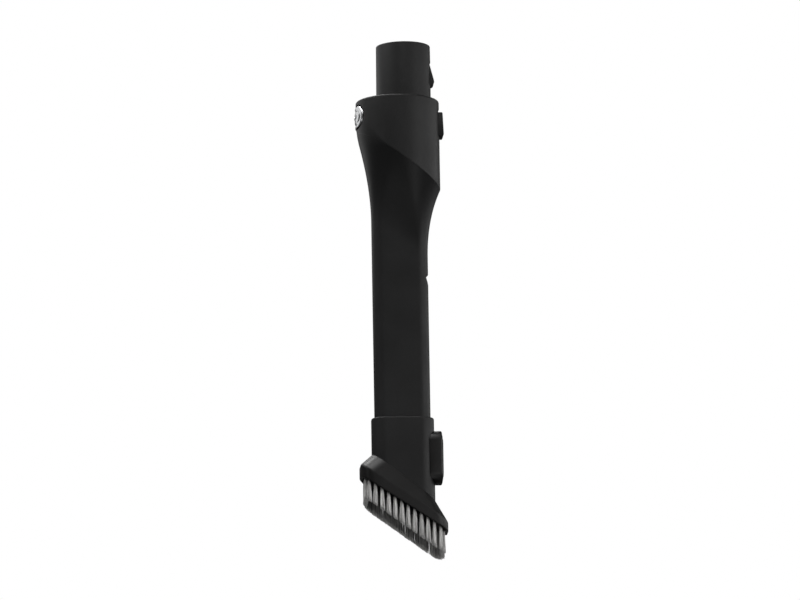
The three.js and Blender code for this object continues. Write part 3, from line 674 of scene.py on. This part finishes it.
def along(start, end, part):
    """The slanted plane at a share of the way between two others."""
    return tuple(a + (b - a) * part for a, b in zip(start, end))


def neck_ring(part):
    """The neck's section: a circle at the crease that flattens quadratically into the tube."""
    share = (1 - part) ** 2
    size = tuple(flat + (COLLAR_RADIUS - flat) * share for flat in tube_size())
    return ring(size, along(CREASE, NECK_END, part))


def duct_ring(part):
    """The duct's section between the round pipe and the flat tube."""
    share = (1 - part) ** 2
    flat = grown(tube_size(), -TUBE_WALL)
    size = tuple(value + (DUCT_RADIUS - value) * share for value in flat)
    drift = TUBE_X * part * part * (3 - 2 * part)
    start = DUCT_TOP - SHOULDER_THICKNESS
    return ring(size, level(start + (DUCT_END - start) * part), drift)


def notch_cutter(top, length, slope_length):
    face = TUBE_X + tube_size()[0]
    deep = face - NOTCH_DEPTH
    out = face + NOTCH_OVERSHOOT
    profile = [
        (out, top + NOTCH_LIP),
        (face, top),
        (deep, top - NOTCH_UNDERCUT),
        (deep, top - length),
        (face, top - length - slope_length),
        (out, top - length - slope_length),
    ]
    sides = (-NOTCH_HALF_WIDTH, NOTCH_HALF_WIDTH)
    return block([[Vector((x, y, z)) for x, z in profile] for y in sides], "cutter")


NECK_TABLE = [neck_ring(step / NECK_STEPS) for step in range(NECK_STEPS + 1)]
COLUMNS = range(len(NECK_TABLE[0]))


def neck_point(column, part):
    place = min(max(part, 0.0), 1.0) * NECK_STEPS
    step = min(int(place), NECK_STEPS - 1)
    return NECK_TABLE[step][column].lerp(NECK_TABLE[step + 1][column], place - step)


def crease_reach(column):
    """How far the crease is rounded: crisp at the front and right, fading out towards -X."""
    across = (NECK_TABLE[0][column].x - TUBE_X) / COLLAR_RADIUS
    t = min(max((CREASE_FADE_START - across) / CREASE_FADE_LENGTH, 0.0), 1.0)
    return CREASE_CRISP + (CREASE_SOFT - CREASE_CRISP) * t * t * (3 - 2 * t)


def crease_part(column):
    """The share of the neck's column at which the rounding ends."""
    length = (NECK_TABLE[0][column] - NECK_TABLE[-1][column]).length
    return crease_reach(column) / length


def crease_ring(t):
    """A row of the rounded crease, from the collar's wall at 0 to the neck at 1."""
    row = []
    for column in COLUMNS:
        corner = NECK_TABLE[0][column]
        above = corner + Vector((0, 0, crease_reach(column)))
        below = neck_point(column, crease_part(column))
        row.append(above * (1 - t) ** 2 + corner * 2 * t * (1 - t) + below * t * t)
    return row


def neck_row(share):
    """A row of the neck between the rounded crease and the flat tube."""
    row = []
    for column in COLUMNS:
        start = crease_part(column)
        row.append(neck_point(column, start + (1 - start) * share))
    return row


def dropped(row, distance):
    return [point - Vector((0, 0, distance)) for point in row]


def nozzle_body():
    """The neck and the flat tube in one wall, outside first, then the duct from the mouth up."""
    flat = grown(tube_size(), -TUBE_WALL)
    rings = [dropped(crease_ring(CREASE_SPLIT), SEAM)]
    rings += [crease_ring(t) for t in (0.6, 0.7, 0.8, 0.9)]
    rings += [neck_row(row / NECK_ROWS) for row in range(NECK_ROWS + 1)]
    for row in range(1, TUBE_ROWS):
        rings.append(ring(tube_size(), along(NECK_END, MOUTH, row / TUBE_ROWS)))
    mouth = len(rings)
    rings.append(ring(tube_size(), MOUTH))
    rings.append(ring(flat, MOUTH))
    rings.append(ring(flat, lifted(MOUTH, MOUTH_LIP)))
    for row in range(DUCT_ROWS):
        start = MOUTH[0] + DUCT_LEVEL_FROM
        rings.append(ring(flat, level(start + (DUCT_END - start) * row / DUCT_ROWS)))
    rings += [duct_ring(1 - row / DUCT_TURN_ROWS) for row in range(DUCT_TURN_ROWS)]
    rings.append(circle(DUCT_RADIUS, DUCT_TOP))
    rings.append(circle(PIPE_RADIUS, DUCT_TOP))
    rings.append(circle(COLLAR_RADIUS - NECK_RIM, CREASE[0], TUBE_X, CREASE[1]))
    rings = softened_at(rings, {mouth: MOUTH_ROUND, mouth + 1: MOUTH_ROUND})
    body = shell(rings, "nozzle_shell")
    upper = notch_cutter(NOTCH_TOP, *UPPER_NOTCH)
    lower = notch_cutter(NOTCH_TOP - SLIDE_TRAVEL, *LOWER_NOTCH)
    return smooth(cut(body, upper, lower))


def collar_shell():
    inner = COLLAR_RADIUS - COLLAR_WALL
    hole = SPIGOT_BASE_RADIUS + COLLAR_HOLE_GAP
    rings = [
        crease_ring(CREASE_SPLIT),
        *[crease_ring(t) for t in (0.4, 0.3, 0.2, 0.1, 0)],
        circle(COLLAR_RADIUS, 0, TUBE_X),
        circle(hole, 0),
        circle(hole, -SHOULDER_THICKNESS),
        circle(inner, -SHOULDER_THICKNESS, TUBE_X),
        circle(inner, CREASE[0], TUBE_X, CREASE[1]),
    ]
    rings = softened_at(rings, {6: COLLAR_FILLET, 7: COLLAR_HOLE_ROUND}, 6)
    collar = shell(rings, "collar_cover")
    half_width, half_height = BUTTON_HALF_WIDTH + BUTTON_GAP, BUTTON_HALF_HEIGHT + BUTTON_GAP
    button = pill(half_width, half_height, *BUTTON_HOLE_REACH, BUTTON_Z)
    window = window_cutter(TAIL_WINDOW_HALF_WIDTH, LATCH_LOW.z - TAIL_GAP, TAIL_WINDOW_TOP, TAIL_WINDOW_REACH)
    return smooth(cut(collar, button, window))


def spigot_pipe():
    tip_inner = SPIGOT_TIP_RADIUS - SPIGOT_WALL
    base_inner = SPIGOT_BASE_RADIUS - SPIGOT_WALL
    rings = [
        circle(PIPE_RADIUS, PIPE_BOTTOM),
        circle(PIPE_RADIUS, PIPE_TAPER_LOW),
        circle(SPIGOT_BASE_RADIUS, PIPE_TAPER_HIGH),
        circle(SPIGOT_TIP_RADIUS, SPIGOT_TOP),
        circle(tip_inner, SPIGOT_TOP),
        circle(base_inner, PIPE_TAPER_HIGH),
        circle(DUCT_RADIUS, PIPE_TAPER_LOW),
        circle(DUCT_RADIUS, PIPE_BOTTOM),
    ]
    rings = softened_at(rings, {3: SPIGOT_OUTER_ROUND, 4: SPIGOT_INNER_ROUND})
    pipe = shell(rings, "spigot_tube")
    slot = window_cutter(LATCH_SLOT_HALF_WIDTH, LATCH_SLOT_LOW, LATCH_SLOT_HIGH, LATCH_SLOT_REACH)
    return smooth(cut(pipe, slot))


def sleeve_shell():
    inside = grown(SLEEVE, -SLEEVE_WALL)
    plane = lifted(SLEEVE_JOIN, SEAM)
    rings = [
        ring(SLEEVE, plane),
        ring(SLEEVE, level(SLEEVE_HIGH.z)),
        ring(inside, level(SLEEVE_HIGH.z)),
        ring(inside, plane),
    ]
    rings = softened_at(rings, {1: SLEEVE_OUTER_ROUND, 2: SLEEVE_INNER_ROUND})
    return smooth(shell(rings, "brush_sleeve"))


def brush_head():
    passage = grown(SLEEVE, -SLEEVE_WALL)
    cavity = (HEAD[0] - RIM_WALL, HEAD[1] - RIM_WALL + RIM_THINNING, HEAD[2] - RIM_WALL)
    ceiling = lifted(RIM_TOP, -CEILING_DROP)
    rings = [
        ring(SLEEVE, SLEEVE_JOIN),
        ring(HEAD, RIM_TOP),
        ring(HEAD, RIM_BOTTOM),
        ring(cavity, RIM_BOTTOM),
        ring(cavity, ceiling),
        ring(passage, ceiling),
        ring(passage, SLEEVE_JOIN),
    ]
    rings = softened_at(rings, {1: RIM_TOP_ROUND, 2: RIM_OUTER_ROUND, 3: RIM_INNER_ROUND})
    return smooth(shell(rings, "brush_hood"))


# Silver button


def on_collar(point, radius):
    """A flat outline's point, laid on a cylinder of that radius about the collar's axis."""
    return Vector((TUBE_X - math.sqrt(radius * radius - point.x * point.x), -point.x, BUTTON_Z + point.y))


def button_cap():
    face = COLLAR_RADIUS + BUTTON_RISE
    rings = []
    for inset, rise in BUTTON_PROFILE:
        inset *= MM
        height = BUTTON_HALF_HEIGHT - inset
        points = outline((BUTTON_HALF_WIDTH - inset, height, height), 14, 10)
        rings.append([on_collar(p, face + rise * MM) for p in points])
    cap = block(rings, "release_button")
    pip = turned_x(PIP_PROFILE)
    pip.location = (TUBE_X - face - PIP_LIFT, 0, BUTTON_Z)
    combined(cap, pip, "UNION")
    return smooth(cap, 40)


def turned_x(profile, segments=40):
    """A turned shape about X, from (radius, height towards -X) points in millimetres."""
    bm = bmesh.new()
    rows = []
    for radius, height in profile:
        row = []
        for i in range(segments):
            angle = 2 * math.pi * i / segments
            y, z = radius * math.cos(angle) * MM, radius * math.sin(angle) * MM
            row.append(bm.verts.new((-height * MM, y, z)))
        rows.append(row)
    skin(bm, rows)
    return closed(bm, "turned", 0.001 * MM)


# Tufts of filament, planted along the head's slanted rim


def path_points(count):
    """Evenly spaced points on the tufts' rounded path, with the outward direction at each."""
    half_width, half_depth, radius = TUFT_PATH
    straight_x, straight_y = half_width - radius, half_depth - radius
    arc = math.pi / 2 * radius
    corner = (arc, True)
    end = [corner, (2 * straight_y, False), corner]
    legs = [(straight_x, False), *end, (2 * straight_x, False), *end, (straight_x, False)]
    perimeter = sum(length for length, turning in legs)
    places = []
    for i in range(count):
        rest = (i + 0.5) / count * perimeter
        heading = 0.0
        position = Vector((0, -half_depth))
        for length, turning in legs:
            step = min(rest, length)
            if turning:
                centre = position + radius * Vector((-math.sin(heading), math.cos(heading)))
                heading += step / radius
                position = centre + radius * Vector((math.sin(heading), -math.cos(heading)))
            else:
                position = position + step * Vector((math.cos(heading), math.sin(heading)))
            rest -= step
            if rest <= 0:
                break
        places.append((position, Vector((math.sin(heading), -math.cos(heading)))))
    return places


def tuft(bm, tone_light_layer, place, outward, rng):
    """One tuft: strands packed at the root that fan out and lean a little towards their tips.

    The rear row is fuller than the front one, stands parted at one place, and short of its toe end takes a darker
    tone, painted as shade.
    """
    rear = place.y > 0 and abs(outward.y) > ROW_FACING
    sideways = Vector((-outward.y, outward.x))
    flare = Vector((0, math.copysign(ROW_FLARE, place.y) * abs(outward.y)))
    # Painted shade: the rear row, short of its toe end, takes a darker tone
    row_tone_and_shade = REAR_SHADED_TONE if rear and place.x < REAR_SHADE_END else FRONT_TONE
    lean = Vector((rng.gauss(0, REAR_LEAN if rear else FRONT_LEAN), rng.gauss(0, OUTWARD_LEAN))) * MM
    fullness = REAR_FULLNESS if rear else 1.0
    splay = REAR_SPLAY if rear else FRONT_SPLAY + rng.uniform(-SPLAY_SCATTER, SPLAY_SCATTER)
    phase = rng.uniform(0, 2 * math.pi)
    if rear and abs(place.x - PARTING) < PARTING_REACH:
        lean.x += math.copysign(PARTING_LEAN, PARTING - place.x)
    count = REAR_STRANDS if rear else STRANDS
    for index in range(count):
        distance = math.sqrt((index + 0.5) / count) * ROOT_SPREAD
        turn = index * GOLDEN_ANGLE + rng.uniform(-TURN_SCATTER, TURN_SCATTER)
        a, c = distance * fullness * math.cos(turn), distance * math.sin(turn)
        root = place + sideways * a + outward * c
        tip = place + sideways * (a * splay + lean.x) + outward * (c * OUTWARD_SPLAY + lean.y) + flare
        tip += Vector((rng.gauss(0, TIP_SCATTER), rng.gauss(0, TIP_SCATTER))) * MM
        bow = Vector((rng.gauss(0, BOW_SCATTER), rng.gauss(0, BOW_SCATTER))) * MM
        trim = rng.uniform(*TRIM_SCATTER) * MM
        tone = row_tone_and_shade + TONE_WAVE * math.sin(a / MM * TONE_WAVES + phase)
        tone += rng.uniform(-TONE_SCATTER, TONE_SCATTER)
        strand(bm, tone_light_layer, root, tip, bow, trim, min(max(tone, 0.0), 1.0))


def strand(bm, tone_light_layer, root, tip, bow, trim, tone):
    """One tapered filament, with its own tone and its shares of the painted root shade and the painted tip
    highlight.
    """
    rows = []
    top = BRISTLE_ROOT[0] - BRISTLE_ROOT[1] * root.x
    bottom = BRISTLE_TIPS[0] - BRISTLE_TIPS[1] * tip.x - TIPS_TILT * tip.y + trim
    bottom += TOE_TRIM * max(0.0, tip.x - TOE_TRIM_START)
    for row in range(STRAND_ROWS + 1):
        part = row / STRAND_ROWS
        centre = root.lerp(tip, part ** FLARE_POWER) + bow * math.sin(math.pi * part)
        height = top + (bottom - top) * part
        radius = STRAND_RADIUS * (1 - STRAND_TAPER * part)
        # Per vertex: the strand's tone, its share of painted root shade and its share of painted tip highlight
        tone_and_painted_light = (tone, max(0.0, 1 - part * ROOT_SHADE_FADE), max(0.0, part * TIP_HIGHLIGHT_FADE - (TIP_HIGHLIGHT_FADE - 1)), 1)
        vertices = []
        for side in range(STRAND_SIDES):
            angle = 2 * math.pi * side / STRAND_SIDES + tone
            x = TUBE_X + centre.x + radius * math.cos(angle)
            y = centre.y + radius * math.sin(angle)
            vertex = bm.verts.new((x, y, height))
            vertex[tone_light_layer] = tone_and_painted_light
            vertices.append(vertex)
        rows.append(vertices)
    for row, below in zip(rows, rows[1:]):
        for i in range(STRAND_SIDES):
            j = (i + 1) % STRAND_SIDES
            bm.faces.new((row[j], row[i], below[i], below[j]))
    bm.faces.new(rows[0])
    bm.faces.new(list(reversed(rows[-1])))


def bristles(node, places, rng):
    bm = bmesh.new()
    tone_light_layer = bm.verts.layers.float_color.new(TONE_AND_LIGHT_LAYER)
    for place, outward in places:
        tuft(bm, tone_light_layer, place, outward, rng)
    piece = object_from(bm, node.replace("bristles", "tufts"))
    piece.data.shade_smooth()
    return dressed(piece, node)


def all_bristles():
    rng = random.Random(SEED)
    groups = {"bristles_front": [], "bristles_rear": [], "bristles_heel": [], "bristles_toe": []}
    for place, outward in path_points(TUFT_COUNT):
        if abs(place.x) > STRAIGHT_HALF:
            node = "bristles_toe" if place.x > 0 else "bristles_heel"
        else:
            node = "bristles_front" if place.y < 0 else "bristles_rear"
        groups[node].append((place, outward))
    for node, places in groups.items():
        bristles(node, places, rng)


# Small pieces whose CAD shape is right: welded, with fine rounded edges


def welded(node):
    bm = bmesh.new()
    bm.from_mesh(frame["nodes"][node].data)
    bmesh.ops.remove_doubles(bm, verts=bm.verts, dist=NODE_WELD)
    return bm


def refined(node, name, width, segments=2):
    """A copy of a CAD node with its flat faces joined and its edges rounded."""
    bm = welded(node)
    bmesh.ops.dissolve_limit(bm, angle_limit=FLAT_ANGLE, verts=bm.verts, edges=bm.edges)
    bmesh.ops.recalc_face_normals(bm, faces=bm.faces)
    piece = object_from(bm, name)
    modifier = piece.modifiers.new("edges", "BEVEL")
    modifier.width = width
    modifier.segments = segments
    modifier.limit_method = "ANGLE"
    modifier.angle_limit = EDGE_ANGLE
    modifier.use_clamp_overlap = True
    return dressed(smooth(applied(piece), 30), node)


def spring(node, name):
    """A coil along X, welded from its CAD node, given its slot's material and fixed in the model's frame."""
    piece = smooth(object_from(welded(node), name), 60)
    slot = NODE_SLOTS[node]
    piece.data.materials.append(SLOT_MATERIALS[slot])
    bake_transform(piece)
    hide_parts(node)


def small_pieces():
    spring("button_spring", "button_return_spring")
    spring("lock_spring", "thumb_return_spring")
    for node, name, edge in REFINED:
        refined(node, name, edge * MM)
    for node in FINE_NODES:
        refined(node, node + "_fine", FINE_EDGE, 1)


def plain_nodes():
    """CAD nodes that stay as they are take their slot's material."""
    for name, node in frame["nodes"].items():
        material = SLOT_MATERIALS[NODE_SLOTS[name]]
        node.data.materials.clear()
        node.data.materials.append(material)


def build():
    plain_nodes()
    dressed(nozzle_body(), "nozzle_neck", "crevice_tube")
    dressed(collar_shell(), "collar_shell")
    dressed(spigot_pipe(), "spigot_pipe")
    dressed(sleeve_shell(), "sleeve_shell")
    dressed(brush_head(), "brush_head")
    dressed(button_cap(), "button_cap")
    all_bristles()
    small_pieces()


# Studio


def direction(azimuth, elevation):
    """Towards a place seen from the object, in degrees; azimuth 0 is in front of it, and 90 at +X."""
    a, e = math.radians(azimuth), math.radians(elevation)
    return Vector((math.sin(a) * math.cos(e), -math.cos(a) * math.cos(e), math.sin(e)))


def camera():
    data = bpy.data.cameras.new("camera")
    data.sensor_width = SENSOR_WIDTH
    data.lens = SENSOR_WIDTH * CAMERA_DISTANCE / FRAME_WIDTH
    data.clip_end = VIEW_DEPTH
    eye = bpy.data.objects.new("camera", data)
    bpy.context.scene.collection.objects.link(eye)
    back = direction(CAMERA_AZIMUTH, CAMERA_ELEVATION)
    eye.location = AIM + back * CAMERA_DISTANCE
    turn = (-back).to_track_quat("-Z", "Y").to_matrix()
    roll = Matrix.Rotation(-math.radians(CAMERA_ROLL), 3, "Z")
    eye.rotation_euler = (turn @ roll).to_euler()
    bpy.context.scene.camera = eye


def lamp(name, azimuth, elevation, watts, distance=1.6, size=(0.7, 0.7)):
    """A soft box that faces the object."""
    data = bpy.data.lights.new(name, "AREA")
    data.shape = "RECTANGLE"
    data.size, data.size_y = size
    data.energy = watts
    light = bpy.data.objects.new(name, data)
    light.visible_camera = False
    bpy.context.scene.collection.objects.link(light)
    towards = direction(azimuth, elevation)
    light.location = AIM + towards * distance
    light.rotation_euler = towards.to_track_quat("Z", "Y").to_euler()


def floor():
    """A plain pale floor, as bright to the camera as it is pale, so that it reads the same from all sides."""
    grid = bmesh.new()
    bmesh.ops.create_grid(grid, x_segments=4, y_segments=4, size=FLOOR_HALF)
    ground = object_from(grid, "floor")
    ground.location.z = AIM.z - FLOOR_DROP
    pale, shader = surface("pale_floor")
    wires = pale.node_tree.links
    shader.inputs["Roughness"].default_value = FLOOR_ROUGHNESS
    tint = blended(pale, spread(pale, noise(pale, FLOOR_SCALE, 2), 0, 1), *FLOOR_COLOURS)
    wires.new(tint, shader.inputs["Base Color"])
    wires.new(tint, shader.inputs["Emission Color"])
    seen = pale.node_tree.nodes.new("ShaderNodeLightPath")
    wires.new(seen.outputs["Is Camera Ray"], shader.inputs["Emission Strength"])
    ground.data.materials.append(pale)


def backdrop():
    """White where the camera sees it, and a much softer light on the object."""
    world = bpy.data.worlds.new("studio")
    bpy.context.scene.world = world
    world.use_nodes = True
    nodes, wires = world.node_tree.nodes, world.node_tree.links
    white = nodes["Background"]
    soft = nodes.new("ShaderNodeBackground")
    for shader, strength in ((white, 1.0), (soft, WORLD_LIGHT)):
        shader.inputs["Color"].default_value = (1, 1, 1, 1)
        shader.inputs["Strength"].default_value = strength
    path = nodes.new("ShaderNodeLightPath")
    mix = nodes.new("ShaderNodeMixShader")
    wires.new(path.outputs["Is Camera Ray"], mix.inputs["Fac"])
    wires.new(soft.outputs["Background"], mix.inputs[1])
    wires.new(white.outputs["Background"], mix.inputs[2])
    wires.new(mix.outputs["Shader"], nodes["World Output"].inputs["Surface"])
    bpy.context.scene.view_settings.view_transform = "Standard"


def lamps():
    lamp("front", 0, 40, 2.2)
    lamp("front_top", 0, 65, 4.7)
    lamp("left_top", 330, 65, 5.4)
    lamp("left_front", 300, 40, 2.2)
    lamp("left", 270, 40, 3.0)
    lamp("right_front", 40, 10, 2.1)
    lamp("right_near", 60, 10, 3.4)
    lamp("right", 90, 10, 2.7)
    lamp("right_rear", 120, 10, 2.0)
    lamp("back", 190, 45, 4.0)
    lamp("over", 243, 65, 1.1, 0.52, (0.2, 0.2))
    lamp("button_card", 228, 30, 0.095, 0.304, (0.2, 0.2))
    lamp("low_front", 350, -45, 2.4)
    lamp("low_card", 12, -27, 0.04, 0.3, (0.12, 0.12))
    lamp("left_strip", 302, -2, 0.02, 0.47, (0.08, 0.12))


build()
camera()
floor()
backdrop()
lamps()
